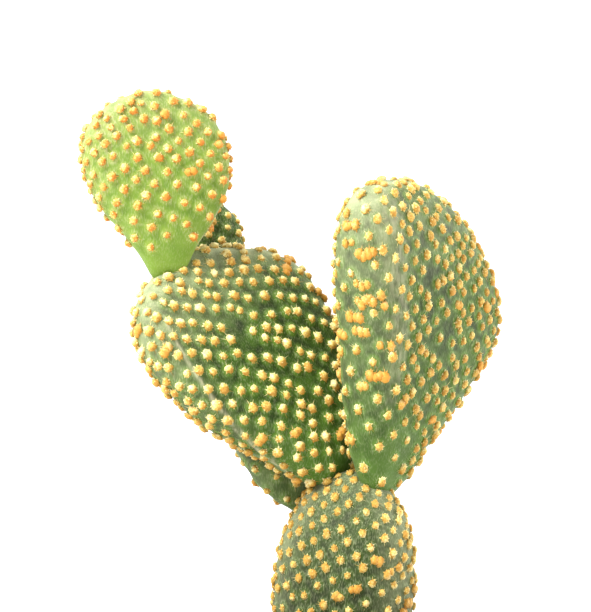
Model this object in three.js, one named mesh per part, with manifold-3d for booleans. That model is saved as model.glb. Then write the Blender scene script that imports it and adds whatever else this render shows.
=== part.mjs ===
// Potted prickly pear cactus: six pads that grow one from another, in a terracotta pot of soil.
// Millimetres, +Z up, the front towards -Y. The origin is the middle of the pot's underside.
import * as THREE from "three";
import { ConvexHull } from "three/addons/math/ConvexHull.js";
import { mergeVertices } from "three/addons/utils/BufferGeometryUtils.js";
import Module from "manifold-3d";

const wasm = await Module();
wasm.setup();

const GAP = 0.35; // clearance between pieces that touch
const FULL_TURN = 2 * Math.PI;
const GOLDEN_TURN = (Math.sqrt(5) - 1) / 2; // share of a turn from one areole to the next

// Pot and soil
const POT_HEIGHT = 85;
const POT_FOOT_RADIUS = 36;
const POT_RIM_RADIUS = 55;
const POT_BAND_HEIGHT = 23;
const POT_BAND_STEP = 4;
const POT_WALL = 4.5;
const POT_FLOOR = 6;
const POT_SIDES = 40;
const DRAIN_COUNT = 3;
const DRAIN_RADIUS = 4.5;
const DRAIN_RING_RADIUS = 19;
const SOIL_LEVEL = 75;
const SOIL_LUMP = 1.3;

// Bristle tufts on the pads
const TUFT_RADIUS = 1.25;
const TUFT_HEIGHT = 1.5;
const TUFT_SIDES = 5;
const AREOLE_SPACING = 5.4;
const CLOSEST_AREOLES = 3.4;
const BARE_SPACING = 3.2;
const BARE_MARGIN = 3.9; // distance from an areole at which bare skin gets points of its own

// Each pad is a stretched sphere in a frame of its own: x across its width to the right, y through
// its thickness to the back, z from its foot to its tip. Half-widths and half-thicknesses are read
// from a curve through stations spaced evenly from foot to tip.
// foot: where the pad starts; lean: degrees to the right; back: degrees away from the front;
// face: degrees that its front face turns to the right; blunt: under 1 flattens the tip;
// bow and cup: how far its middle bends sideways and to the back; corner: how boxy its section is,
// in width and in thickness; crowd: how much closer the areoles stand at the tip; bare: share of
// its length at the foot without tufts.
const PADS = {
  pad_base: {
    foot: [0, 0, 63],
    length: 71.5,
    lean: 3,
    back: 0,
    face: -30,
    left: [16, 19.5, 20.5, 21, 20],
    right: [16, 18.5, 17.5, 20, 19.5],
    thick: [12, 14, 14, 14, 14],
    blunt: 1,
    bow: 0,
    cup: 0,
    corner: [2.4, 2.2],
    crowd: 0.6,
    bare: 0.2,
    grown: 1,
    colour: "#62803f",
  },
  pad_left: {
    foot: [0.7, 3, 130.3],
    length: 72.5,
    lean: -40.5,
    back: 0,
    face: 40,
    left: [10, 14, 17.5, 24, 28, 31, 37],
    right: [20, 22.5, 23, 28, 33, 30, 34.5],
    thick: [8, 9, 8, 8.5, 14],
    blunt: 0.91,
    bow: -17.5,
    cup: 0,
    corner: [3.4, 2.6],
    crowd: 0.5,
    bare: 0.02,
    grown: 1,
    colour: "#5e7f3f",
  },
  pad_right: {
    foot: [10.9, 0, 126.3],
    length: 84,
    lean: 1.5,
    back: 0,
    face: 55,
    left: [22, 17.5, 18.5, 25.5, 31],
    right: [12, 18.5, 44, 36, 25.5],
    thick: [7, 9, 10, 12, 13],
    blunt: 0.79,
    bow: -18,
    cup: 0,
    corner: [3.4, 2.6],
    crowd: 0.6,
    bare: 0.04,
    grown: 1,
    colour: "#66854a",
  },
  pad_rear: {
    foot: [-2.4, 12, 119.2],
    length: 61,
    lean: -30,
    back: 16,
    face: 36,
    left: [6, 14.5, 14.5, 15.5, 16],
    right: [6, 10, 14, 15, 16],
    thick: [4, 5, 6.5, 6, 6],
    blunt: 1,
    bow: 0,
    cup: 0,
    corner: [2.8, 2.2],
    crowd: 0.4,
    bare: 0.03,
    grown: 1,
    colour: "#4a6830",
  },
  pad_rear_small: {
    foot: [-33.2, 27.5, 165],
    length: 39,
    lean: -8.7,
    back: 5,
    face: 15,
    left: [5, 8, 11, 13, 15.5],
    right: [5, 7.5, 10.5, 14.5, 14],
    thick: [4, 5.5, 6, 5.5, 6],
    blunt: 1,
    bow: 0,
    cup: 0,
    corner: [2.8, 2.2],
    crowd: 0.3,
    bare: 0.16,
    grown: 0.9,
    colour: "#4a6830",
  },
  pad_young: {
    foot: [-44.8, 2, 181.8],
    length: 52,
    lean: -8,
    back: 0,
    face: 8,
    left: [9.5, 9.5, 17, 22, 21.5],
    right: [8, 10.5, 18.5, 21.5, 20],
    thick: [5, 6, 6, 5.5, 7],
    blunt: 1,
    bow: -3.5,
    cup: 0,
    corner: [2.8, 2.2],
    crowd: 0.5,
    bare: 0.2,
    grown: 0.85,
    colour: "#8fbf4a",
  },
};

// Each pad's foot sits in a socket of the piece that carries it.
const CARRIED_BY = {
  pad_left: "pad_base",
  pad_right: "pad_base",
  pad_rear: "pad_base",
  pad_rear_small: "pad_rear",
  pad_young: "pad_left",
};

// Value at a share of the way along a smooth curve through evenly spaced stations.
function curveThrough(stations, share) {
  const last = stations.length - 1;
  const start = Math.min(Math.floor(share * last), last - 1);
  const step = share * last - start;
  const a = start > 0 ? stations[start - 1] : 2 * stations[0] - stations[1];
  const b = stations[start];
  const c = stations[start + 1];
  const d = start + 2 <= last ? stations[start + 2] : 2 * c - b;
  const slope = (c - a) * step;
  const bend = (2 * a - 5 * b + 4 * c - d) * step ** 2;
  const twist = (3 * b - a - 3 * c + d) * step ** 3;
  return (2 * b + slope + bend + twist) / 2;
}

const signedPower = (value, power) => Math.sign(value) * Math.abs(value) ** power;

// The pad's section at a height: how far its middle has bent, and its half-widths there.
// The angle along runs from 0 at the foot to PI at the tip.
function sectionAt(pad, along) {
  const height = (1 - Math.cos(along)) / 2;
  const swell = Math.sin(along) ** (along > Math.PI / 2 ? pad.blunt : 1);
  const bend = height ** 2 - height;
  return {
    height,
    middle: new THREE.Vector2(pad.bow * bend, pad.cup * bend),
    left: curveThrough(pad.left, along / Math.PI) * swell,
    right: curveThrough(pad.right, along / Math.PI) * swell,
    thick: curveThrough(pad.thick, along / Math.PI) * swell,
  };
}

// A point of the pad's skin, or of a skin grown outwards.
function padPoint(pad, along, around, grow = 0) {
  const section = sectionAt(pad, along);
  const side = Math.cos(around) > 0 ? section.right : section.left;
  const x = (side + grow) * signedPower(Math.cos(around), 2 / pad.corner[0]);
  const y = (section.thick + grow) * signedPower(Math.sin(around), 2 / pad.corner[1]);
  const z = pad.length * section.height - grow * Math.cos(along);
  return new THREE.Vector3(section.middle.x + x, section.middle.y + y, z);
}

// The pad's skin as a map from directions of a unit sphere, foot at -z and tip at +z. Equal turns
// on the sphere are equal lengths round the pad's middle section.
function makeSkin(pad) {
  const girth = new THREE.Curve();
  girth.getPoint = (share) => padPoint(pad, 0.55 * Math.PI, share * FULL_TURN);
  const skin = (direction, grow = 0) => {
    const along = Math.acos(THREE.MathUtils.clamp(-direction.z, -1, 1));
    const share = (Math.atan2(direction.y, direction.x) / FULL_TURN + 1) % 1;
    return padPoint(pad, along, girth.getUtoTmapping(share) * FULL_TURN, grow);
  };
  return skin;
}

function direction(along, share) {
  const reach = Math.sin(along);
  const turn = share * FULL_TURN;
  return new THREE.Vector3(reach * Math.cos(turn), reach * Math.sin(turn), -Math.cos(along));
}

// The skin's two tangents and outward normal at a direction, and the sphere steps that make them.
function tangentFrame(skin, from) {
  const step = 0.01;
  const helper = Math.abs(from.z) < 0.9 ? new THREE.Vector3(0, 0, 1) : new THREE.Vector3(1, 0, 0);
  const east = helper.cross(from).normalize();
  const north = from.clone().cross(east);
  const at = (axis) => {
    const ahead = skin(from.clone().addScaledVector(axis, step).normalize());
    const behind = skin(from.clone().addScaledVector(axis, -step).normalize());
    return ahead.sub(behind).divideScalar(2 * step);
  };
  const alongEast = at(east);
  const alongNorth = at(north);
  const across = alongEast.clone().normalize();
  const lean = alongNorth.dot(across);
  const up = alongNorth.clone().addScaledVector(across, -lean);
  const upLength = up.length();
  const normal = across.clone().cross(up).normalize();
  // The direction whose skin point lies a given way across and up from here
  const offset = (wayAcross, wayUp) => {
    const northStep = wayUp / upLength;
    const eastStep = (wayAcross - northStep * lean) / alongEast.length();
    return from.clone().addScaledVector(east, eastStep).addScaledVector(north, northStep).normalize();
  };
  return { normal, offset };
}

// Directions spread over the pad as a cactus grows them: each areole a golden turn on from the
// last, evenly in area, and closer together towards the tip.
function spiralDirections(pad, spacing, crowd) {
  const bands = 90;
  const ringPoints = 48;
  const ring = (along) =>
    Array.from({ length: ringPoints }, (_, i) => padPoint(pad, along, (i / ringPoints) * FULL_TURN));
  const reached = [0];
  for (let band = 0; band < bands; band++) {
    const low = ring((band / bands) * Math.PI);
    const high = ring(((band + 1) / bands) * Math.PI);
    let area = 0;
    for (let i = 0; i < ringPoints; i++) {
      const next = (i + 1) % ringPoints;
      const rise = high[i].clone().sub(low[next]);
      const run = high[next].clone().sub(low[i]);
      area += rise.cross(run).length() / 2;
    }
    reached.push(reached[band] + area * (1 + crowd * ((band + 0.5) / bands) ** 4));
  }
  const total = reached[bands];
  const count = Math.round(total / (spacing ** 2 * Math.sqrt(0.75)));
  return Array.from({ length: count }, (_, i) => {
    const target = ((i + 0.5) / count) * total;
    const band = reached.findIndex((area) => area > target) - 1;
    const part = (target - reached[band]) / (reached[band + 1] - reached[band]);
    return direction(((band + part) / bands) * Math.PI, (i * GOLDEN_TURN) % 1);
  });
}

// The pad's own frame in the part: x across its width, y to its back, z up its axis.
function padFrame(pad) {
  const lean = THREE.MathUtils.degToRad(pad.lean);
  const back = THREE.MathUtils.degToRad(pad.back);
  const turn = THREE.MathUtils.degToRad(pad.face);
  const axis = new THREE.Vector3(
    Math.sin(lean) * Math.cos(back),
    Math.sin(back),
    Math.cos(lean) * Math.cos(back),
  );
  const toBack = new THREE.Vector3(0, 1, 0).addScaledVector(axis, -axis.y).normalize();
  toBack.applyAxisAngle(axis, turn);
  const width = toBack.clone().cross(axis);
  return new THREE.Matrix4().makeBasis(width, toBack, axis).setPosition(...pad.foot);
}

// Whether a point of the part lies inside a pad grown outwards by a margin.
function isInside(pad, point, margin) {
  const local = point.clone().applyMatrix4(padFrame(pad).invert());
  if (local.z < -margin || local.z > pad.length + margin) return false;
  const height = THREE.MathUtils.clamp(local.z / pad.length, 0, 1);
  const section = sectionAt(pad, Math.acos(1 - 2 * height));
  const x = local.x - section.middle.x;
  const y = local.y - section.middle.y;
  const side = (x > 0 ? section.right : section.left) + margin;
  const wide = (Math.abs(x) / side) ** pad.corner[0];
  const deep = (Math.abs(y) / (section.thick + margin)) ** pad.corner[1];
  return wide + deep < 1;
}

// A closed geometry over skin points, joined as the hull of their directions on the sphere.
function wrap(knots) {
  const hull = new ConvexHull().setFromPoints(knots.map((knot) => knot.direction));
  const pointOf = new Map(knots.map((knot) => [knot.direction, knot.point]));
  const corners = [];
  for (const face of hull.faces) {
    let edge = face.edge;
    do {
      corners.push(pointOf.get(edge.head().point));
      edge = edge.next;
    } while (edge !== face.edge);
  }
  return new THREE.BufferGeometry().setFromPoints(corners);
}

function padGeometry(name) {
  const pad = PADS[name];
  const skin = makeSkin(pad);
  const frame = padFrame(pad);
  const others = Object.keys(PADS).filter((other) => other !== name);
  const knots = [];
  const areoles = [];
  const farFrom = (point, distance) => areoles.every((other) => other.distanceTo(point) > distance);

  // Tufts: a ring of skin points round a raised tip
  for (const centre of spiralDirections(pad, AREOLE_SPACING / Math.sqrt(pad.grown), pad.crowd)) {
    const point = skin(centre);
    if (point.z < pad.bare * pad.length || !farFrom(point, CLOSEST_AREOLES)) continue;
    const { normal, offset } = tangentFrame(skin, centre);
    const tip = point.clone().addScaledVector(normal, TUFT_HEIGHT * pad.grown);
    const tipInPart = tip.clone().applyMatrix4(frame);
    const crowded = others.some((other) => isInside(PADS[other], tipInPart, TUFT_HEIGHT + GAP));
    const buried = name === "pad_base" && tipInPart.z < SOIL_LEVEL + 2 * TUFT_RADIUS;
    if (crowded || buried) continue;
    areoles.push(point);
    knots.push({ direction: centre, point: tip });
    for (let side = 0; side < TUFT_SIDES; side++) {
      const turn = ((side + 0.25) / TUFT_SIDES) * FULL_TURN;
      const reach = TUFT_RADIUS * pad.grown;
      const foot = offset(reach * Math.cos(turn), reach * Math.sin(turn));
      knots.push({ direction: foot, point: skin(foot) });
    }
  }

  // Bare skin between and below them
  for (const bare of spiralDirections(pad, BARE_SPACING, 0)) {
    const point = skin(bare);
    if (farFrom(point, BARE_MARGIN)) knots.push({ direction: bare, point });
  }
  return wrap(knots);
}

// Plain skin of a pad without tufts, grown outwards, as the tool that cuts its neighbours.
function grownSkin(pad, grow) {
  const skin = makeSkin(pad);
  const points = spiralDirections(pad, 3, 0);
  return wrap(points.map((from) => ({ direction: from, point: skin(from, grow) })));
}

function toSolid(geometry) {
  const bare = new THREE.BufferGeometry();
  bare.setAttribute("position", geometry.getAttribute("position"));
  if (geometry.index) bare.setIndex(geometry.index);
  const merged = mergeVertices(bare, 1e-4);
  return new wasm.Manifold(
    new wasm.Mesh({
      numProp: 3,
      vertProperties: merged.getAttribute("position").array,
      triVerts: new Uint32Array(merged.index.array),
    }),
  );
}

function toGeometry(solid) {
  const mesh = solid.getMesh();
  const indexed = new THREE.BufferGeometry();
  indexed.setAttribute("position", new THREE.BufferAttribute(mesh.vertProperties, 3));
  indexed.setIndex(new THREE.BufferAttribute(mesh.triVerts, 1));
  const geometry = indexed.toNonIndexed();
  geometry.computeVertexNormals();
  return geometry;
}

function paint(colour, roughness) {
  return new THREE.MeshStandardMaterial({ color: colour, roughness, metalness: 0, flatShading: true });
}

function buildPad(name) {
  const pad = PADS[name];
  const frame = padFrame(pad);
  let solid = toSolid(padGeometry(name));
  const carrier = PADS[CARRIED_BY[name]];
  if (carrier) {
    const socket = grownSkin(carrier, GAP);
    socket.applyMatrix4(frame.clone().invert().multiply(padFrame(carrier)));
    solid = solid.subtract(toSolid(socket));
  }
  const mesh = new THREE.Mesh(toGeometry(solid), paint(pad.colour, 0.6));
  mesh.name = name;
  mesh.applyMatrix4(frame);
  return mesh;
}

// Inner radius of the pot at a height above its floor.
function potInnerRadius(height) {
  const outerTop = POT_RIM_RADIUS - POT_BAND_STEP;
  const outer = THREE.MathUtils.mapLinear(height, 0, POT_HEIGHT, POT_FOOT_RADIUS, outerTop);
  return outer - POT_WALL;
}

function buildPot() {
  const bandFoot = POT_HEIGHT - POT_BAND_HEIGHT;
  const underBand = potInnerRadius(bandFoot) + POT_WALL;
  const soften = 1.2;
  const profile = [
    [0, 0],
    [POT_FOOT_RADIUS - soften, 0],
    [POT_FOOT_RADIUS, soften],
    [underBand, bandFoot],
    [underBand + POT_BAND_STEP - soften, bandFoot + 0.5],
    [underBand + POT_BAND_STEP, bandFoot + soften + 0.5],
    [POT_RIM_RADIUS, POT_HEIGHT - 2 * soften],
    [POT_RIM_RADIUS - soften, POT_HEIGHT - soften / 2],
    [POT_RIM_RADIUS - 2 * soften, POT_HEIGHT],
    [potInnerRadius(POT_HEIGHT) + soften, POT_HEIGHT],
    [potInnerRadius(POT_HEIGHT), POT_HEIGHT - soften],
    [potInnerRadius(POT_FLOOR), POT_FLOOR],
    [0, POT_FLOOR],
  ];
  const outline = profile.map(([radius, height]) => new THREE.Vector2(radius, height));
  let solid = toSolid(new THREE.LatheGeometry(outline, POT_SIDES).rotateX(Math.PI / 2));
  for (let hole = 0; hole < DRAIN_COUNT; hole++) {
    const drill = new THREE.CylinderGeometry(DRAIN_RADIUS, DRAIN_RADIUS, 3 * POT_FLOOR, 16);
    drill.rotateX(Math.PI / 2);
    drill.translate(DRAIN_RING_RADIUS, 0, POT_FLOOR / 2);
    drill.rotateZ((hole / DRAIN_COUNT) * FULL_TURN);
    solid = solid.subtract(toSolid(drill));
  }
  const mesh = new THREE.Mesh(toGeometry(solid), paint("#b5643c", 0.85));
  mesh.name = "pot";
  return mesh;
}

// Soil that fills the pot, with a lumpy top and a plain hole for the lowest pad's foot.
function buildSoil() {
  const floor = POT_FLOOR + GAP;
  const rings = 7;
  const topRadius = potInnerRadius(SOIL_LEVEL) - GAP - 0.2;
  const outline = [
    new THREE.Vector2(0, floor),
    new THREE.Vector2(potInnerRadius(floor) - GAP - 0.2, floor),
  ];
  for (let ring = rings; ring >= 0; ring--) {
    outline.push(new THREE.Vector2((topRadius * ring) / rings, SOIL_LEVEL));
  }
  const geometry = new THREE.LatheGeometry(outline, POT_SIDES);
  const position = geometry.getAttribute("position");
  for (let i = 0; i < position.count; i++) {
    const x = position.getX(i);
    const z = position.getZ(i);
    const inner = Math.hypot(x, z) < topRadius - 1;
    if (position.getY(i) < SOIL_LEVEL - 1 || !inner) continue;
    const lump = Math.sin(0.83 * x + 1.1) * Math.cos(0.71 * z) + Math.sin(0.37 * x - 0.59 * z);
    position.setY(i, SOIL_LEVEL + SOIL_LUMP * lump);
  }
  let solid = toSolid(geometry.rotateX(Math.PI / 2));
  const hole = grownSkin(PADS.pad_base, GAP).applyMatrix4(padFrame(PADS.pad_base));
  solid = solid.subtract(toSolid(hole));
  const mesh = new THREE.Mesh(toGeometry(solid), paint("#4a3527", 1));
  mesh.name = "soil";
  return mesh;
}

const plant = new THREE.Group();
plant.add(...Object.keys(PADS).map(buildPad));

const pottedCactus = new THREE.Group();
pottedCactus.add(buildPot(), buildSoil(), plant);

export default pottedCactus;
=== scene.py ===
# %% [markdown]
# # A potted prickly pear
# A prickly pear of the bunny-ears type grows flat joints, called pads, one from another. Its velvety green
# skin carries rows of small golden brushes of bristles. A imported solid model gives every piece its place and
# size. This script gives each one its real surface: fine skin, bristles, fired clay and potting soil.

# %% Load the solid model
import math

import bpy
import numpy as np
from mathutils import Matrix, Vector, kdtree, noise


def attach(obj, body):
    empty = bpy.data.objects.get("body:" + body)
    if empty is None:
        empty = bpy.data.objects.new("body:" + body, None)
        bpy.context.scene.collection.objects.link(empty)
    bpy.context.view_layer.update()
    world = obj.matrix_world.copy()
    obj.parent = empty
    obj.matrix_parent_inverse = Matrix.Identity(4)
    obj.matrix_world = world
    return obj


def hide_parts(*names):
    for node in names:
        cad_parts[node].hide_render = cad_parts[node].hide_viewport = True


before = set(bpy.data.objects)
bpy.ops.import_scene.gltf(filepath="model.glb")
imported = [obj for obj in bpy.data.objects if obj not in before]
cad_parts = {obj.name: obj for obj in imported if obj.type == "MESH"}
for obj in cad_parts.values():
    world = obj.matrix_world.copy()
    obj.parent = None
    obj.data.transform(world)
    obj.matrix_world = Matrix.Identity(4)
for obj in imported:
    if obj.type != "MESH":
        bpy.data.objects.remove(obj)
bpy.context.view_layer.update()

# %% [markdown]
# ## Camera
# The picture was taken with a long lens from a little above, with the pot below its lower edge. A camera
# could be aimed by hand in the viewport. Here its distance, height and angle of view are worked out from
# named sizes, so that one pixel is a known length at the plant.

# %% Place the camera
MM = 0.001
IMAGE_HEIGHT = 612
PIXEL_AT_PLANT = 0.26 * MM
CAMERA_DISTANCE = 900 * MM
CAMERA_RISE = math.radians(6)
SENSOR_WIDTH = 36
NEAR_END, FAR_END = 0.05, 60
AIM = Vector((-11.6, 0, 177.6)) * MM

camera_data = bpy.data.cameras.new("camera")
camera_data.sensor_width = SENSOR_WIDTH
camera_data.lens = SENSOR_WIDTH * CAMERA_DISTANCE / (IMAGE_HEIGHT * PIXEL_AT_PLANT)
camera_data.clip_start = NEAR_END
camera_data.clip_end = FAR_END
camera = bpy.data.objects.new("camera", camera_data)
to_camera = Vector((0, -math.cos(CAMERA_RISE), math.sin(CAMERA_RISE)))
camera.location = AIM + CAMERA_DISTANCE * to_camera
camera.rotation_euler = (-to_camera).to_track_quat("-Z", "Y").to_euler()
bpy.context.scene.collection.objects.link(camera)
bpy.context.scene.camera = camera
print("lens", round(camera_data.lens, 1), "mm, camera at", tuple(round(v, 3) for v in camera.location))

# %% [markdown]
# ## Helpers for materials
# A material is a tree of nodes. Each could be wired with lines of its own, but that hides the recipe. So
# one small function adds a node with its settings and links. Inputs that share a name go by number. In a
# Map Range 0 is the value, 1 and 2 its range, 3 and 4 the new one. In a Mix 0 is the share, 2 and 3 are
# numbers, 6 and 7 colours. Colours are sRGB hex values, as in a paint chart.

# %% Helpers for materials
def linear(hex_colour):
    """The linear colour of an sRGB hex value, with full alpha."""
    shares = [int(hex_colour[i : i + 2], 16) / 255 for i in (1, 3, 5)]
    return [s / 12.92 if s <= 0.04045 else ((s + 0.055) / 1.055) ** 2.4 for s in shares] + [1]


def add(tree, kind, inputs=None, **settings):
    """Adds a node. Each input is a value, a hex colour, another node, or one output of another node."""
    node = tree.nodes.new(kind)
    for name, value in settings.items():
        setattr(node, name, value)
    for name, value in (inputs or {}).items():
        if isinstance(value, bpy.types.Node):
            value = next(output for output in value.outputs if output.enabled)
        if isinstance(value, bpy.types.NodeSocket):
            tree.links.new(value, node.inputs[name])
        else:
            node.inputs[name].default_value = linear(value) if isinstance(value, str) else value
    return node


def new_material(name):
    """A material whose node tree is still empty, and the tree."""
    material = bpy.data.materials.new(name)
    material.use_nodes = True
    material.node_tree.nodes.clear()
    print("material", name)
    return material, material.node_tree


# %% [markdown]
# ## Light
# The plant stood in a bright white studio: a lit white background, a soft light from the upper left and
# white walls that fill the shadows. Many lamps could stand for the walls. A white world is simpler: it is
# brighter behind the plant and above it, which gives the edges their pale rim, and dimmer in front, so that
# the main light models the form. A weak light from the right and behind opens the shaded side. The camera
# itself sees the world plain white.

# %% Light the world
FRONT_STRENGTH = 0.42
BACK_STRENGTH = 1.5
BACKGROUND_STRENGTH = 1.02
BRIGHT_WAY = (0, 0.6, 0.8)
DIMMEST, BRIGHTEST = -0.5, 0.9  # how far a direction points the bright way

bpy.context.scene.view_settings.view_transform = "Standard"
world = bpy.data.worlds.new("white_studio")
world.use_nodes = True
tree = world.node_tree
way = add(tree, "ShaderNodeTexCoord").outputs["Generated"]
toward_back = add(tree, "ShaderNodeVectorMath", {0: way, 1: BRIGHT_WAY}, operation="DOT_PRODUCT")
room_range = {0: toward_back.outputs["Value"], 1: DIMMEST, 2: BRIGHTEST, 3: FRONT_STRENGTH, 4: BACK_STRENGTH}
room = add(tree, "ShaderNodeMapRange", room_range)
in_view = add(tree, "ShaderNodeLightPath").outputs["Is Camera Ray"]
strength = add(tree, "ShaderNodeMix", {0: in_view, 2: room, 3: BACKGROUND_STRENGTH})
background = tree.nodes["Background"]
background.inputs["Color"].default_value = linear("#ffffff")
tree.links.new(strength.outputs[0], background.inputs["Strength"])
bpy.context.scene.world = world
print("world strength:", FRONT_STRENGTH, "in front and", BACK_STRENGTH, "behind")


# %% Set up the lights
def add_area_light(name, place, size, power):
    """A square light of a size in metres and a power in watts, which shines at the middle of the plant."""
    data = bpy.data.lights.new(name, "AREA")
    data.size = size
    data.energy = power
    light = bpy.data.objects.new(name, data)
    light.location = place
    light.rotation_euler = (AIM - Vector(place)).to_track_quat("-Z", "Y").to_euler()
    bpy.context.scene.collection.objects.link(light)
    print(name, power, "watts")


add_area_light("main_light", (-0.7, -0.55, 1.2), size=0.6, power=38)
add_area_light("fill_light", (0.65, 0.25, 0.4), size=0.4, power=5)

# %% [markdown]
# ## Floor
# The pot stands on a studio floor that runs into the white behind it. A curved sheet could hide the line
# between them, but a plane that reaches far past the view does it too. Its matt white paint is too rough
# for gloss, and glows a little so that it stays white.

# %% Lay and paint the floor
FLOOR_SIZE = 50
FLOOR_GAP = 0.2 * MM
FLOOR_GLOW = 0.42

bpy.ops.object.select_all(action="DESELECT")
bpy.ops.mesh.primitive_plane_add(size=FLOOR_SIZE, location=(0, 0, -FLOOR_GAP))
floor = bpy.context.object
floor.name = "floor"
floor_paint, tree = new_material("white_studio_floor")
inputs = {"Base Color": "#f4f4f4", "Roughness": 0.9}
inputs |= {"Emission Color": "#ffffff", "Emission Strength": FLOOR_GLOW}
paint = add(tree, "ShaderNodeBsdfPrincipled", inputs)
add(tree, "ShaderNodeOutputMaterial", {"Surface": paint})
floor.data.materials.append(floor_paint)
print("floor", FLOOR_SIZE, "m wide")

# %% [markdown]
# ## The form of a pad
# A pad is a flat, fleshy stem joint: narrow at its foot, broad above and thick enough to hold water. It
# could be sculpted, but each one here has to keep the outline of its solid. So each pad has a few
# half-widths and half-thicknesses from foot to tip, and one formula turns a sphere's points to its skin.
#
# - Place: foot is where it starts, lean is to the right, back is away from the front, and face is how far
#   its front turns to the right.
# - Form: left, right and thick are half-sizes at even steps from foot to tip. A blunt under 1 flattens the
#   tip, bow bends the middle sideways, and corner is how boxy the section is, in width and depth.
# - Brushes: spacing is from one to the next, bare the share at the foot without any, size how much wider
#   and taller than modelled they are, crowd how much denser they stand at the tip and on the rims, and
#   clumps the share on the rims that have run together and the most in a row. Nod is which way they lean
#   and lit which side of each brush is painted pale as lit, with painted shade on the other, to the right
#   and up.
# - Crease, on three pads: line is where round the pad it runs, width its half-width, from foot to tip,
#   span is where along the pad it starts and ends, and pale is how pale its line is drawn.
# - Skin: the first five numbers say how grey it is everywhere, where it faces up, on the left rim, on the
#   right
#   rim and at the tip: grey nap, with painted light where it faces up towards the main light and on the rims.
#   Then comes how far its green is darkened.

# %% Sizes of the pads, in millimetres and degrees
PADS = {
    "pad_base": {
        "foot": (0, 0, 63), "length": 71.5, "lean": 3, "back": 0, "face": -30,
        "left": (16, 19.5, 20.5, 21, 20),
        "right": (16, 18.5, 17.5, 20, 19.5),
        "thick": (12, 14, 14, 14, 14),
        "blunt": 1, "bow": 0, "corner": (2.4, 2.2),
        "spacing": 5.2, "bare": 0.12, "size": (1.15, 1.37), "crowd": (1.3, 0.3), "clumps": (0.06, 3),
        "nod": (0.15, -0.3), "lit": (0.4, -0.5),
        "nap_and_light": (0, 0.2, 0.45, 0.4, 0), "darkening": 0.66,
    },
    "pad_left": {
        "foot": (0.7, 3, 130.3), "length": 73.5, "lean": -40.5, "back": 0, "face": 40,
        "left": (10, 14, 17.5, 24, 28, 31, 37),
        "right": (20, 22.5, 23, 28, 33, 30, 34.5),
        "thick": (8, 9, 8, 8.5, 14),
        "blunt": 0.91, "bow": -17.5, "corner": (3.4, 2.6),
        "spacing": 5.2, "bare": 0.02, "size": (1.36, 1.42), "crowd": (1.2, 0.9), "clumps": (0.1, 3),
        "nod": (0.1, 0.05), "lit": (-0.5, 0.7),
        "crease": {
            "line": (165, 172, 182, 214, 232, 240, 242), "width": (1.4, 1, 0.6, 0.45, 0.4),
            "span": (35, 150), "pale": 1,
        },
        "nap_and_light": (0, 0.45, 0.22, 0.75, 0.4), "darkening": 0,
    },
    "pad_right": {
        "foot": (10.9, 0, 126.3), "length": 84, "lean": 1.5, "back": 0, "face": 55,
        "left": (22, 17.5, 18.5, 25.5, 31),
        "right": (12, 18.5, 44, 36, 25.5),
        "thick": (7, 9, 10, 12, 13),
        "blunt": 0.79, "bow": -18, "corner": (3.4, 2.6),
        "spacing": 5.4, "bare": 0.04, "size": (1.18, 1.46), "crowd": (1.6, -0.3), "clumps": (0.45, 9),
        "nod": (0.05, -0.1), "lit": (-0.3, 0.4),
        "crease": {
            "line": (195, 205, 222, 241, 240, 236, 190), "width": (1, 1.2, 2, 3.4, 4.6, 5),
            "span": (60, 168), "pale": 0.5,
        },
        "nap_and_light": (0.05, 0.45, 0.25, 0, 0.2), "darkening": 0.04,
    },
    "pad_rear": {
        "foot": (-2.4, 12, 119.2), "length": 61, "lean": -30, "back": 16, "face": 36,
        "left": (6, 14.5, 14.5, 15.5, 16),
        "right": (6, 10, 14, 15, 16),
        "thick": (4, 5, 6.5, 6, 6),
        "blunt": 1, "bow": 0, "corner": (2.8, 2.2),
        "spacing": 6, "bare": 0.03, "size": (1.1, 1.1), "crowd": (0.8, 0.3), "clumps": (0.02, 2),
        "nod": (0, -0.1), "lit": (-0.3, 0.5),
        "nap_and_light": (0.2, 0.2, 0, 0, 0), "darkening": 0,
    },
    "pad_rear_small": {
        "foot": (-33.2, 27.5, 165), "length": 39, "lean": -8.7, "back": 5, "face": 15,
        "left": (5, 8, 11, 13, 15.5),
        "right": (5, 7.5, 10.5, 14.5, 14),
        "thick": (4, 5.5, 6, 5.5, 6),
        "blunt": 1, "bow": 0, "corner": (2.8, 2.2),
        "spacing": 4.6, "bare": 0.1, "size": (1.1, 1.1), "crowd": (0.8, 0.5), "clumps": (0.05, 2),
        "nod": (0, -0.1), "lit": (-0.3, 0.5),
        "nap_and_light": (0, 0.1, 0, 0, 0), "darkening": 0.4,
    },
    "pad_young": {
        "foot": (-44.6, 2, 183.6), "length": 50.2, "lean": -8, "back": 0, "face": 8,
        "left": (14, 9.5, 17, 22, 21.5),
        "right": (13, 10.5, 18.5, 21.5, 20),
        "thick": (5, 6, 6, 5.5, 7),
        "blunt": 1, "bow": -3.5, "corner": (2.8, 2.2),
        "spacing": 6, "bare": 0.2, "size": (1.52, 1.52), "crowd": (5, 0.8), "clumps": (0.03, 2),
        "nod": (-0.25, 0.2), "lit": (-0.6, 0.6),
        "crease": {"line": (340, 345, 350, 350), "width": (0.45, 0.45), "span": (30, 100), "pale": 1},
        "nap_and_light": (0.06, 0.25, 0.1, 0.1, 0.15), "darkening": 0,
    },
}
print("pads and their lengths:", {name: pad["length"] for name, pad in PADS.items()})

# %% The pad formula
GIRTH_PLACE = 0.55 * math.pi
GIRTH_STEPS = 721


def curve_through(stations, share):
    """Values, at shares of the way along, of a smooth curve through evenly spaced stations."""
    s = np.asarray(stations, float)
    ends = np.concatenate(([2 * s[0] - s[1]], s, [2 * s[-1] - s[-2]]))
    last = len(s) - 1
    start = np.clip(np.floor(share * last).astype(int), 0, last - 1)
    step = share * last - start
    a, b, c, d = (ends[start + i] for i in range(4))
    bend = (2 * a - 5 * b + 4 * c - d) * step**2
    twist = (3 * b - a - 3 * c + d) * step**3
    return (2 * b + (c - a) * step + bend + twist) / 2


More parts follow.
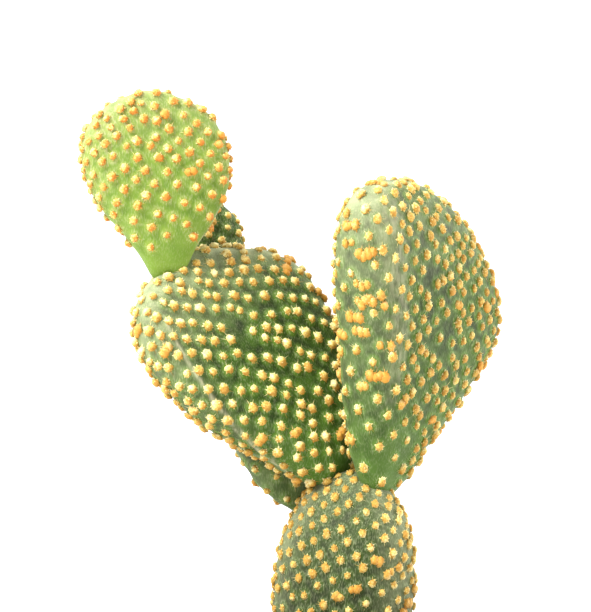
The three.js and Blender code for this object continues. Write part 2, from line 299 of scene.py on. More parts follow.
def section(pad, along):
    """At angles from 0, the foot, to pi: the share climbed, the middle's bend, and the three half-sizes."""
    height = (1 - np.cos(along)) / 2
    swell = np.sin(along) ** np.where(along > math.pi / 2, pad["blunt"], 1)
    sides = [curve_through(pad[side], along / math.pi) * swell for side in ("left", "right", "thick")]
    return height, pad["bow"] * (height**2 - height), *sides


def pad_points(pad, along, around):
    """Points of the pad's skin in its own frame: x across its width, y to its back, z up its axis."""
    height, middle, left, right, thick = section(pad, along)
    across, deep = np.cos(around), np.sin(around)
    side = np.where(across > 0, right, left)
    x = middle + side * np.sign(across) * np.abs(across) ** (2 / pad["corner"][0])
    y = thick * np.sign(deep) * np.abs(deep) ** (2 / pad["corner"][1])
    return np.stack([x, y, pad["length"] * height], axis=-1)


def girth_lengths(pad):
    """Angles round the pad near its middle, and the share of its girth that is reached at each."""
    around = np.linspace(0, 2 * math.pi, GIRTH_STEPS)
    girth = pad_points(pad, np.full_like(around, GIRTH_PLACE), around)
    reached = np.concatenate(([0], np.cumsum(np.linalg.norm(np.diff(girth, axis=0), axis=1))))
    return around, reached / reached[-1]


def skin_angles(pad, directions):
    """The two angles of the skin at directions of a unit sphere, spread evenly round the girth."""
    around, reached = girth_lengths(pad)
    along = np.arccos(np.clip(-directions[:, 2], -1, 1))
    share = (np.arctan2(directions[:, 1], directions[:, 0]) / (2 * math.pi)) % 1
    return along, np.interp(share, reached, around)


# %% Pads in the part's frame
def pad_frame(pad):
    """The pad's own frame in the part: a turn matrix, whose columns are its axes, and its foot."""
    lean, back = math.radians(pad["lean"]), math.radians(pad["back"])
    axis = Vector((math.sin(lean) * math.cos(back), math.sin(back), math.cos(lean) * math.cos(back)))
    to_back = Vector((0, 1, 0)) - axis.y * axis
    to_back.normalize()
    to_back.rotate(Matrix.Rotation(math.radians(pad["face"]), 3, axis))
    width = to_back.cross(axis)
    return np.array([width, to_back, axis]).T, np.array(pad["foot"], float)


def to_part(pad, points):
    """Points in the pad's frame, in millimetres, as points of the part in metres."""
    turn, foot = pad_frame(pad)
    return (points @ turn.T + foot) * MM


def inside(pad, points, margin=0):
    """Which points of the part, in metres, lie inside the pad grown by a margin in millimetres."""
    turn, foot = pad_frame(pad)
    local = (points / MM - foot) @ turn
    share = np.clip(local[:, 2] / pad["length"], 0, 1)
    _, middle, left, right, thick = section(pad, np.arccos(1 - 2 * share))
    x, y = local[:, 0] - middle, local[:, 1]
    wide = (np.abs(x) / (np.where(x > 0, right, left) + margin)) ** pad["corner"][0]
    deep = (np.abs(y) / (thick + margin)) ** pad["corner"][1]
    in_reach = (local[:, 2] > -margin) & (local[:, 2] < pad["length"] + margin)
    return in_reach & (wide + deep < 1)


# %% [markdown]
# ## Relief of the skin
# A pad's skin isn't even: it rises a little under each brush, and dips and swells slowly over its width. On
# the left, the right and the young pad it also stands up in a soft shoulder with a pale crease on it. Three
# small terms add up to that relief. A bump in the material would be lighter, but it leaves the outline
# smooth, so the relief moves real vertices.

# %% Relief
SWELLING_HEIGHT = 0.45
SWELLING_RADIUS = 1.6
MEAN_SWELLING = 0.4
UNEVENNESS = 0.5
UNEVENNESS_WIDTH = 9
CREST_HEIGHT = 0.25
SHOULDER_HEIGHT = 0.7
SHOULDER_WIDTH = 3.5
CREASE_FADES = (0.5, 0.4)  # radians along the pad, at the crease's start and end
SMALL_STEP = 0.01
POLE_MARGIN = 0.03  # at the very foot and tip there is no way round the pad


def smooth_steps(low, high, values):
    """0 below low, 1 above high and an even, smooth rise between them."""
    share = np.clip((values - low) / max(high - low, 1e-6), 0, 1)
    return share * share * (3 - 2 * share)


def mm_per_radian(pad, along, around):
    """How many millimetres of skin one radian round the pad covers at each point."""
    ahead, behind = (pad_points(pad, along, around + s) for s in (SMALL_STEP, -SMALL_STEP))
    return np.linalg.norm(ahead - behind, axis=1) / (2 * SMALL_STEP)


def crease_relief(pad, along, around):
    """The crease's share of pale skin at each point, from 0 to 1, and its lift in millimetres."""
    crease = pad.get("crease")
    if not crease:
        return np.zeros(len(along)), np.zeros(len(along))
    line = np.radians(curve_through(crease["line"], along / math.pi))
    start, end = np.radians(crease["span"])
    fade_in, fade_out = CREASE_FADES
    fade = smooth_steps(start, start + fade_in, along) * (1 - smooth_steps(end - fade_out, end, along))
    turn = (around - line + math.pi) % (2 * math.pi) - math.pi
    distance = turn * mm_per_radian(pad, along, around)
    width = curve_through(crease["width"], along / math.pi)
    crest = crease["pale"] * np.exp(-((distance / width) ** 2)) * fade
    shoulder = np.exp(-((distance / SHOULDER_WIDTH) ** 2)) * fade
    return crest, CREST_HEIGHT * crest + SHOULDER_HEIGHT * shoulder


def skin_relief(pad, along, around, points, swelling):
    """How far the skin stands off the pad's formula, in millimetres."""
    slow = np.array([noise.noise(Vector(p) / (UNEVENNESS_WIDTH * MM)) for p in points])
    _, lift = crease_relief(pad, along, around)
    return SWELLING_HEIGHT * (swelling - MEAN_SWELLING) + UNEVENNESS * slow + lift


def skin_frame(pad, along, around):
    """Points of the skin in the part, their outward normals and the way towards the tip along the skin."""
    clear = np.clip(along, POLE_MARGIN, math.pi - POLE_MARGIN)
    turn, _ = pad_frame(pad)
    upward = pad_points(pad, clear + SMALL_STEP, around) - pad_points(pad, clear - SMALL_STEP, around)
    sideways = pad_points(pad, clear, around + SMALL_STEP) - pad_points(pad, clear, around - SMALL_STEP)
    upward = upward @ turn.T
    normal = np.cross(sideways @ turn.T, upward)
    normal /= np.linalg.norm(normal, axis=1, keepdims=True)
    upward /= np.linalg.norm(upward, axis=1, keepdims=True)
    return to_part(pad, pad_points(pad, along, around)), normal, upward


# %% [markdown]
# ## Where the brushes grow
# Each brush stands on an areole, a small bud of the stem. A growing stem sets each new bud a golden turn on
# from the last one, which gives the slanting rows. They could be scattered at random, but that loses the
# rows, so they are set out in that spiral, closer together at the tip and mostly also on the narrow rims,
# where some have run together in short rows.

# %% The spiral of areoles
GOLDEN_TURN = (math.sqrt(5) - 1) / 2
STEPS_ALONG = 181
RIM_SHARPNESS = 6
TIP_SHARPNESS = 3


def spiral_angles(pad):
    """The two angles of each areole, from the foot to the tip."""
    along = np.linspace(0, math.pi, STEPS_ALONG)
    around, reached = girth_lengths(pad)
    grid = pad_points(pad, along[:, None] + 0 * around, around + 0 * along[:, None])
    rise = grid[1:, :-1] - grid[:-1, 1:]
    run = grid[1:, 1:] - grid[:-1, :-1]
    tip_crowd, rim_crowd = pad["crowd"]
    rims = 1 + rim_crowd * np.abs(np.cos((around[1:] + around[:-1]) / 2)) ** RIM_SHARPNESS
    area = np.linalg.norm(np.cross(rise, run), axis=-1) * rims / 2
    crowded = 1 + tip_crowd * (along[1:] / math.pi) ** TIP_SHARPNESS
    climbed = np.concatenate(([0], np.cumsum(area.sum(axis=1) * crowded)))
    turned = np.concatenate(([0], np.cumsum(np.diff(reached) * rims)))
    area_each = pad["spacing"] ** 2 * math.sqrt(0.75)  # as in a net of even triangles
    order = np.arange(round(climbed[-1] / area_each))
    height = np.interp((order + 0.5) / len(order) * climbed[-1], climbed, along)
    turn = np.interp(((order * GOLDEN_TURN) % 1) * turned[-1], turned, around)
    return height, turn


# %% Clumps of areoles
CLUMP_SHARE = 0.03
CLUMP_STEP = 1.25
CLUMP_WANDER = 0.015
RIM_START = 0.6
DEEP_SHADES = (0, 0.3)
OTHER_SHADES = (0.35, 1)


def thin_out(points, distance, runs):
    """Numbers of the points that stay when each has to be a distance from those kept of other runs."""
    kept = []
    for i, point in enumerate(points):
        others = [j for j in kept if runs[j] != runs[i]]
        if not others or np.linalg.norm(points[others] - point, axis=1).min() > distance:
            kept.append(i)
    return kept


def grow_clumps(pad, along, around, rng):
    """Adds the brushes that have run together. Gives each a shade, deep for runs, and its run's number."""
    rims = smooth_steps(RIM_START, 1, np.abs(np.cos(around)))
    share, most = pad["clumps"]
    clumped = rng.random(len(along)) < CLUMP_SHARE + share * rims
    deep, other = rng.uniform(*DEEP_SHADES, len(along)), rng.uniform(*OTHER_SHADES, len(along))
    shades = np.where(clumped, deep, other)
    seats = list(zip(along, around, shades, range(len(along))))
    reach = mm_per_radian(pad, along, around)
    for i in np.flatnonzero(clumped):
        way = rng.choice((-1, 1)) * CLUMP_STEP / reach[i]
        for step in range(1, 2 + round(rims[i] * rng.uniform(0, most - 1.5))):
            seats.append((along[i] + rng.normal(0, CLUMP_WANDER), around[i] + step * way, shades[i], i))
    return np.array(seats).T


# %% Find the areoles
CLOSEST = 2.5
SPREAD = 0.012
END_MARGIN = 0.06
SOIL_LEVEL = 75
SOIL_CLEARANCE = 2
PAD_CLEARANCE = 0.8


def find_areoles(name, rng):
    """A pad's areoles, clear of the soil and the other pads: places, normals, ways to the tip and shades."""
    pad = PADS[name]
    along, around = spiral_angles(pad)
    along = np.clip(along + rng.normal(0, SPREAD, len(along)), END_MARGIN, math.pi - END_MARGIN)
    around = around + rng.normal(0, SPREAD, len(around))
    kept = thin_out(pad_points(pad, along, around), CLOSEST, range(len(along)))
    along, around, shades, runs = grow_clumps(pad, along[kept], around[kept], rng)
    kept = thin_out(pad_points(pad, along, around), CLOSEST, runs)
    along, around, shades = along[kept], around[kept], shades[kept]
    places, normals, upward = skin_frame(pad, along, around)
    lift = skin_relief(pad, along, around, places, np.ones(len(places)))
    places = places + normals * lift[:, None] * MM
    above_soil = places[:, 2] > (SOIL_LEVEL + SOIL_CLEARANCE) * MM
    keep = ((1 - np.cos(along)) / 2 > pad["bare"]) & above_soil
    for other in PADS:
        if other != name:
            keep &= ~inside(PADS[other], places + normals * PAD_CLEARANCE * MM)
    return [values[keep] for values in (places, normals, upward, shades)]


seeds = {name: np.random.default_rng(40 + i) for i, name in enumerate(PADS)}
areoles = {name: find_areoles(name, seeds[name]) for name in PADS}
print("areoles:", {name: len(found[0]) for name, found in areoles.items()})

# %% [markdown]
# ## Skin
# Under the brushes lies a soft skin with a grey nap. A sphere of small triangles is added and its vertices
# are moved to the pad's formula and relief. A subdivided box would do too, but a sphere closes over the tip
# without a seam. Each vertex keeps how swollen, creased and high on the pad its skin is, how grey the nap and
# painted light make it, and how far its green is darkened.

# %% Read and write meshes
def read_points(mesh):
    points = np.empty(len(mesh.vertices) * 3)
    mesh.vertices.foreach_get("co", points)
    return points.reshape(-1, 3)


def write_points(mesh, points):
    mesh.vertices.foreach_set("co", np.asarray(points, np.float32).ravel())
    mesh.update()


def store(mesh, name, values):
    """Keeps one number for each vertex, which a material can read by its name."""
    mesh.attributes.new(name, "FLOAT", "POINT").data.foreach_set("value", np.asarray(values, np.float32))


def nearest(places, points):
    """How far each point lies from the nearest place, in millimetres."""
    lookup = kdtree.KDTree(len(places))
    for i, place in enumerate(places):
        lookup.insert(place, i)
    lookup.balance()
    return np.array([lookup.find(point)[2] for point in points]) / MM


# %% How grey the nap and painted light make the skin
# Painted light: skin that faces this way, towards the main light, is painted paler.
UPWARD = np.array((-0.25, -0.2, 0.95))  # up, and a little to the left and the front
LEFT_RIM = (0.2, 0.9)
RIGHT_RIM = (0.6, 1)
CLIMB = (0.1, 0.9)
TIP = (0.6, 0.95)
FACING_UP = (0.4, 1)


def nap_and_light_share(pad, along, around, normals):
    """How grey the nap, with painted light, makes the skin at each point. Each term sets in between the two
    values above.
    """
    everywhere, upward, left_rim, right_rim, tip = pad["nap_and_light"]
    across, height = np.cos(around), (1 - np.cos(along)) / 2
    # Painted light: the rims, and below the skin facing up towards the main light, are painted paler.
    rims = left_rim * smooth_steps(*LEFT_RIM, -across) + right_rim * smooth_steps(*RIGHT_RIM, across)
    nap_and_light = everywhere + rims * smooth_steps(*CLIMB, height) + tip * smooth_steps(*TIP, height)
    return nap_and_light + upward * smooth_steps(*FACING_UP, normals @ UPWARD)


# %% Make the skins
COARSE, FINE = 6, 7  # how often the sphere is subdivided
FINE_PADS = ("pad_base", "pad_left", "pad_right")


def make_skin(name):
    pad = PADS[name]
    bpy.ops.object.select_all(action="DESELECT")
    bpy.ops.mesh.primitive_ico_sphere_add(subdivisions=FINE if name in FINE_PADS else COARSE, radius=1)
    skin = bpy.context.object
    skin.name = name + "_skin"
    directions = read_points(skin.data)
    directions /= np.linalg.norm(directions, axis=1, keepdims=True)
    along, around = skin_angles(pad, directions)
    points, normals, _ = skin_frame(pad, along, around)
    swelling = np.exp(-((nearest(areoles[name][0], points) / SWELLING_RADIUS) ** 2))
    relief = skin_relief(pad, along, around, points, swelling)
    write_points(skin.data, points + normals * relief[:, None] * MM)
    store(skin.data, "swelling", swelling)
    store(skin.data, "crease", crease_relief(pad, along, around)[0])
    store(skin.data, "rise", (1 - np.cos(along)) / 2)
    store(skin.data, "nap_and_light", nap_and_light_share(pad, along, around, normals))
    # How far each pad's green is darkened towards a dull grey green.
    store(skin.data, "darkening", np.full(len(points), pad["darkening"]))
    bpy.ops.object.shade_smooth()
    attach(skin, "root")
    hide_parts(name)
    print(skin.name, len(skin.data.polygons), "triangles")
    return skin


skins = {name: make_skin(name) for name in PADS}

# %% [markdown]
# ## Brushes
# What looks like a golden dot is a brush of hundreds of fine barbed bristles, orange brown at the root and
# cream at the tip. Hair would be the quick way, but hair isn't a mesh. So a brush is a small dome, whose
# points are pushed in and out like bunches of bristles, with coarse spikes on it, every fifth one long and
# thin. Each point keeps how far towards the tips it is. A few brushes are modelled, and then copied.

# %% Model a dome and a bristle
DOME_CUT = -0.2


def take_mesh(piece):
    """A primitive's points and faces, after which the primitive is removed."""
    points = read_points(piece.data)
    faces = np.array([list(face.vertices) for face in piece.data.polygons])
    bpy.data.objects.remove(piece)
    return points, faces


def model_dome():
    """A coarse ball of triangles whose hidden lower part is drawn together in one point."""
    bpy.ops.object.select_all(action="DESELECT")
    bpy.ops.mesh.primitive_uv_sphere_add(segments=8, ring_count=5, radius=1)
    dome = bpy.context.object
    bpy.ops.object.mode_set(mode="EDIT")
    bpy.ops.mesh.select_mode(type="VERT")
    bpy.ops.mesh.select_all(action="SELECT")
    bpy.ops.mesh.quads_convert_to_tris()
    bpy.ops.mesh.select_all(action="DESELECT")
    bpy.ops.object.mode_set(mode="OBJECT")
    for vertex in dome.data.vertices:
        vertex.select = vertex.co.z < DOME_CUT
    bpy.ops.object.mode_set(mode="EDIT")
    bpy.ops.mesh.merge(type="COLLAPSE")
    bpy.ops.object.mode_set(mode="OBJECT")
    return take_mesh(dome)


def model_bristle():
    """A three-sided spike, one long and one wide, that grows up from its base."""
    bpy.ops.object.select_all(action="DESELECT")
    bpy.ops.mesh.primitive_cone_add(vertices=3, radius1=0.5, radius2=0, depth=1, location=(0, 0, 0))
    points, faces = take_mesh(bpy.context.object)
    return points + (0, 0, 0.5), faces


dome_points, dome_faces = model_dome()
bristle_points, bristle_faces = model_bristle()
print("a dome has", len(dome_faces), "faces and a bristle", len(bristle_faces))

# %% Model the brushes
BRUSH_KINDS = 8
BRISTLES = 13  # a real brush has hundreds, too fine to show, so these are coarser
LONG_EVERY = 5
SHORT_BRISTLE = (0.75, 0.75)  # length and width, in radii of the dome
LONG_BRISTLE = (1.5, 0.18)
BRISTLE_ROOT = 0.5
LENGTHS = (0.75, 1.1)
TILTS = (15, 80)  # degrees at the middle, and more at the edge
TILT_SPREAD = 5
TURN_SPREAD = 0.2
DOME_RAGGEDNESS = 0.09
RAGGED_TONE = 2.5
SPIKE_TONES = (0.15, 0.25, 0.3)  # at its root, along it, and along it at the edge


def frame_along(axis, rng):
    """A turn matrix whose third column is the axis, with its other two at a random turn."""
    across = np.cross(rng.normal(size=3), axis)
    across /= np.linalg.norm(across)
    return np.stack([across, np.cross(axis, across), axis], axis=1)


def model_brush(rng, radius, share):
    """One brush that grows up +z: points in millimetres, faces, and each point's share to the tips."""
    push = 1 + rng.normal(0, DOME_RAGGEDNESS, len(dome_points))
    points = [dome_points * push[:, None] * radius]
    faces = [dome_faces]
    shares = [share + RAGGED_TONE * (push - 1)]
    at_root, along_it, at_edge = SPIKE_TONES
    for i in range(BRISTLES):
        length, width = LONG_BRISTLE if i % LONG_EVERY == LONG_EVERY - 1 else SHORT_BRISTLE
        slant = math.sqrt((i + 0.5) / BRISTLES)
        tilt = math.radians(TILTS[0] + TILTS[1] * slant + rng.normal(0, TILT_SPREAD))
        turn = 2 * math.pi * GOLDEN_TURN * i + rng.normal(0, TURN_SPREAD)
        axis = np.array([math.sin(tilt) * math.cos(turn), math.sin(tilt) * math.sin(turn), math.cos(tilt)])
        sized = bristle_points * (width, width, length * rng.uniform(*LENGTHS)) * radius
        faces.append(bristle_faces + sum(map(len, points)))
        points.append(sized @ frame_along(axis, rng).T + BRISTLE_ROOT * radius * axis)
        shares.append(share + at_root + (along_it + at_edge * slant) * bristle_points[:, 2])
    return np.concatenate(points), np.concatenate(faces), np.concatenate(shares)


brush_rng = np.random.default_rng(7)
grown_brushes = [model_brush(brush_rng, 1, 0.34) for _ in range(BRUSH_KINDS)]
young_brushes = [model_brush(brush_rng, 0.8, 0.23) for _ in range(BRUSH_KINDS)]
print("a brush has", len(grown_brushes[0][1]), "faces")

# %% [markdown]
# ## Setting the brushes on the pads
# A brush is rarely straight. It nods a little and it sits slightly in the skin. Its side towards the light is
# painted pale, cream, as painted light, and its other side deeper orange brown, as painted shade. The brushes
# could be instances of a few meshes, but each pad's brushes are wanted as one solid piece. So the points are
# copied to every areole, each time with another size, turn, nod and shade.

# %% Join copies in one piece
def join_copies(name, copies, stored):
    """One piece of copies, each of points in metres, faces and a number for each name that is stored."""
    counts = np.cumsum([0] + [len(points) for points, _, _ in copies])
    mesh = bpy.data.meshes.new(name)
    points = np.concatenate([points for points, _, _ in copies])
    faces = np.concatenate([faces + start for (_, faces, _), start in zip(copies, counts)])
    mesh.from_pydata(points.tolist(), [], faces.tolist())
    for i, label in enumerate(stored):
        values = [np.broadcast_to(numbers[i], len(points)) for points, _, numbers in copies]
        store(mesh, label, np.concatenate(values))
    piece = bpy.data.objects.new(name, mesh)
    bpy.context.scene.collection.objects.link(piece)
    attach(piece, "root")
    print(name, len(mesh.polygons), "faces")
    return piece


# %% Set the brushes
SUNK = 0.3
SIZES = (0.82, 1.15)
NOD_SPREAD = 0.12
LIT_SIDE = 0.4
LIT_SPREAD = 0.2


def grow_brushes(name, rng):
    pad = PADS[name]
    nod, lit = (np.array((way[0], 0, way[1])) for way in (pad["nod"], pad["lit"]))
    wide, tall = pad["size"]
    brushes = young_brushes if name == "pad_young" else grown_brushes
    copies = []
    for place, normal, upward, shade in zip(*areoles[name]):
        axis = normal + nod + rng.normal(0, NOD_SPREAD, 3)
        axis /= np.linalg.norm(axis)
        points, faces, shares = brushes[rng.integers(BRUSH_KINDS)]
        points = points @ frame_along(axis, rng).T * wide * rng.uniform(*SIZES)
        points = points + np.outer(points @ upward, upward) * (tall / wide - 1)
        # Painted light and shade: the side of each brush towards the light is painted paler, the far side
        # deeper.
        shares = np.clip(shares + LIT_SIDE * points @ (lit + rng.normal(0, LIT_SPREAD, 3)), 0, 1)
        seat = place - normal * SUNK * MM
        copies.append((points * MM + seat, faces, (shares, shade)))
    piece = join_copies(name + "_bristles", copies, ("tip", "tone"))
    piece.data.shade_smooth()
    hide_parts(name)
    return piece


bristles = {name: grow_brushes(name, seeds[name]) for name in PADS}

# %% [markdown]
# ## Pot
# The photograph leaves the pot out, so this is the plain clay pot that such a plant is sold in. A potter
# turns it on a wheel, and spin does the same here: half an outline is turned once round the axis. The
# solid's own pot has flat facets, so this smooth one takes its place. Three drills cut the drain holes.

# %% Sizes of the pot, in millimetres
POT_HEIGHT = 85
POT_FOOT_RADIUS = 36
POT_RIM_RADIUS = 55
BAND_HEIGHT = 23
BAND_STEP = 4
BAND_SLOPE = 0.8
POT_WALL = 4.5
POT_FLOOR = 6
EDGE_ROUNDING = 1.3
SHARP = math.radians(30)
DRAIN_RADIUS = 4.5
DRAIN_RING_RADIUS = 19
DRAIN_COUNT = 3


def body_radius(height):
    """The outer radius of the pot's body, without its band."""
    return POT_FOOT_RADIUS + (POT_RIM_RADIUS - BAND_STEP - POT_FOOT_RADIUS) * height / POT_HEIGHT


# %% The potter's wheel
WHEEL_STEPS = 96
WELD = 0.01 * MM


def turn_on_wheel(name, outline):
    """Turns an outline of radii and heights in millimetres, with its ends on the axis, into a body."""
    bpy.ops.object.select_all(action="DESELECT")
    bpy.ops.mesh.primitive_circle_add(vertices=len(outline), radius=1)
    piece = bpy.context.object
    piece.name = name
    write_points(piece.data, [(radius * MM, 0, height * MM) for radius, height in outline])
    bpy.ops.object.mode_set(mode="EDIT")
    bpy.ops.mesh.select_all(action="SELECT")
    bpy.ops.mesh.spin(steps=WHEEL_STEPS, angle=2 * math.pi, center=(0, 0, 0), axis=(0, 0, 1))
    bpy.ops.mesh.select_all(action="SELECT")
    bpy.ops.mesh.remove_doubles(threshold=WELD)
    bpy.ops.mesh.dissolve_degenerate(threshold=WELD)
    bpy.ops.mesh.delete_loose()
    bpy.ops.mesh.select_all(action="SELECT")
    bpy.ops.mesh.normals_make_consistent(inside=False)
    bpy.ops.object.mode_set(mode="OBJECT")
    return piece


# %% Turn the pot
def drill_drain(pot, number):
    """Cuts one of the drain holes through the pot's floor."""
    turn = 2 * math.pi * number / DRAIN_COUNT
    place = (DRAIN_RING_RADIUS * math.cos(turn) * MM, DRAIN_RING_RADIUS * math.sin(turn) * MM, 0)
    depth = 4 * POT_FLOOR * MM
    bpy.ops.object.select_all(action="DESELECT")
    bpy.ops.mesh.primitive_cylinder_add(vertices=32, radius=DRAIN_RADIUS * MM, depth=depth, location=place)
    drill = bpy.context.object
    bpy.context.view_layer.objects.active = pot
    hole = pot.modifiers.new("hole", "BOOLEAN")
    hole.operation = "DIFFERENCE"
    hole.object = drill
    bpy.ops.object.modifier_apply(modifier="hole")
    bpy.data.objects.remove(drill)


def make_pot():
    band_foot = POT_HEIGHT - BAND_HEIGHT
    outline = [
        (0, 0),
        (POT_FOOT_RADIUS, 0),
        (body_radius(band_foot), band_foot),
        (body_radius(band_foot) + BAND_STEP, band_foot + BAND_SLOPE),
        (POT_RIM_RADIUS, POT_HEIGHT),
        (body_radius(POT_HEIGHT) - POT_WALL, POT_HEIGHT),
        (body_radius(POT_FLOOR) - POT_WALL, POT_FLOOR),
        (0, POT_FLOOR),
    ]
    pot = turn_on_wheel("clay_pot", outline)
    soft_edges = pot.modifiers.new("soft_edges", "BEVEL")
    soft_edges.width = EDGE_ROUNDING * MM
    soft_edges.segments = 3
    soft_edges.limit_method = "ANGLE"
    soft_edges.angle_limit = SHARP
    bpy.ops.object.modifier_apply(modifier="soft_edges")
    for number in range(DRAIN_COUNT):
        drill_drain(pot, number)
    bpy.ops.object.select_all(action="DESELECT")
    pot.select_set(True)
    bpy.ops.object.shade_smooth_by_angle(angle=SHARP)
    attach(pot, "root")
    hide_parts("pot")
    print("pot:", len(pot.data.polygons), "faces")
    return pot


pot = make_pot()

# %% [markdown]
# ## Soil and grit
# A cactus stands in gritty soil: dark crumbs of compost with pale mineral grains between them. The ground is
# turned like the pot and made lumpy. Thousands of particles could be thrown on it, but they don't become
# meshes. So a few crumbs and grains are modelled from a small ball, pushed out of round, and copied over the
# ground wherever the lowest pad leaves room.

# %% Fill the pot
LUMP_HEIGHT, LUMP_WIDTH = 1.2, 11
CLOD_HEIGHT, CLOD_WIDTH = 0.35, 2.5
SOIL_RINGS = 36
SOIL_GAP = 0.1
FLAT_EDGE = 3


def soil_lump(x, y):
    """Height of the soil's surface over its level, at places in metres."""
    slow = noise.noise(Vector((x, y, 0)) / (LUMP_WIDTH * MM))
    fine = noise.noise(Vector((x, y, 0.3)) / (CLOD_WIDTH * MM))
    return (LUMP_HEIGHT * slow + CLOD_HEIGHT * fine) * MM


def make_soil():
    floor_height = POT_FLOOR + SOIL_GAP
    foot_radius, top_radius = (body_radius(h) - POT_WALL - SOIL_GAP for h in (floor_height, SOIL_LEVEL))
    rings = [(top_radius * (1 - i / SOIL_RINGS), SOIL_LEVEL) for i in range(SOIL_RINGS + 1)]
    soil = turn_on_wheel("potting_soil", [(0, floor_height), (foot_radius, floor_height), *rings])
    points = read_points(soil.data)
    top = points[:, 2] > SOIL_LEVEL / 2 * MM
    radius = np.hypot(points[top, 0], points[top, 1]) / MM
    lumps = np.array([soil_lump(x, y) for x, y in points[top, :2]])
    points[top, 2] = SOIL_LEVEL * MM + lumps * np.clip((top_radius - radius) / FLAT_EDGE, 0, 1)
    write_points(soil.data, points)
    bpy.ops.object.shade_smooth()
    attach(soil, "root")
    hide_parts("soil")
    print("soil:", len(soil.data.polygons), "faces")
    return soil


soil = make_soil()

# %% Scatter crumbs and grit
CRUMBS, CRUMB_SIZES = 620, (1.0, 3.2)
GRAINS, GRAIN_SIZES = 130, (1.2, 3.4)
LUMP_KINDS = 8
STRETCHES = (0.65, 1.2)
BUMPINESS = 0.13
WALL_CLEARANCE = 1.5
STANDS_OUT = 0.25


def model_lump(points, rng):
    """A ball's points pushed out of round, as a crumb or a grain."""
    stretch = rng.uniform(*STRETCHES, 3)
    bumps = 1 + rng.normal(0, BUMPINESS, len(points))
    return points * stretch * bumps[:, None]


def scatter(name, count, ball, sizes, rng):
    """Copies of lumps over the soil, sunk a little into it and clear of the lowest pad."""
    points, faces = ball
    kinds = [model_lump(points, rng) for _ in range(LUMP_KINDS)]
    reach = (body_radius(SOIL_LEVEL) - POT_WALL - WALL_CLEARANCE) * MM
    copies = []
    while len(copies) < count:
        distance, turn = reach * math.sqrt(rng.random()), 2 * math.pi * rng.random()
        x, y = distance * math.cos(turn), distance * math.sin(turn)
        place = np.array([x, y, SOIL_LEVEL * MM + soil_lump(x, y)])
        if inside(PADS["pad_base"], place[None], margin=1)[0]:
            continue
        size = rng.uniform(*sizes) / 2 * MM
        turned = kinds[rng.integers(LUMP_KINDS)] @ frame_along(np.array([0, 0, 1.0]), rng).T
        copies.append((turned * size + place + (0, 0, STANDS_OUT * size), faces, (rng.random(),)))
    return join_copies(name, copies, ("tone",))


def model_ball(subdivisions):
    """A ball of triangles, one in radius."""
    bpy.ops.object.select_all(action="DESELECT")
    bpy.ops.mesh.primitive_ico_sphere_add(subdivisions=subdivisions, radius=1)
    return take_mesh(bpy.context.object)


ground_rng = np.random.default_rng(11)
crumbs = scatter("soil_crumbs", CRUMBS, model_ball(1), CRUMB_SIZES, ground_rng)
grains = scatter("grit", GRAINS, model_ball(2), GRAIN_SIZES, ground_rng)

# %% [markdown]
# ## Pad skin
# The skin is a waxy cuticle with a nap of microscopic hairs. It gives a satin green, grey where the nap is
# thick, towards the tips and on the rims. Painted shade darkens the furrows between brushes, a painted
# highlight brightens the skin round each brush, and painted light pales the skin that faces up towards the
# main light and the rims. A photograph could be wrapped on it, but it would smear over the rims. So slow noise
# gives the mottling, stretched fine noise the nap, and stored numbers the painted shade and highlight, the
# grey and the crease. A little sheen stands for the nap at edges. The young pad has fresher greens.

# %% Material for the skins
STORED = ("swelling", "crease", "rise", "nap_and_light", "darkening")
MOTTLE_WIDTH = 5 * MM
CREASE_STREAK_WIDTH = 1.2 * MM
NAP_WIDTH = 0.34 * MM  # real hairs are far too fine to show, so they are drawn coarser
DARK_GREY_GREEN, CREASE_PALE = "#2c3020", "#aca888"


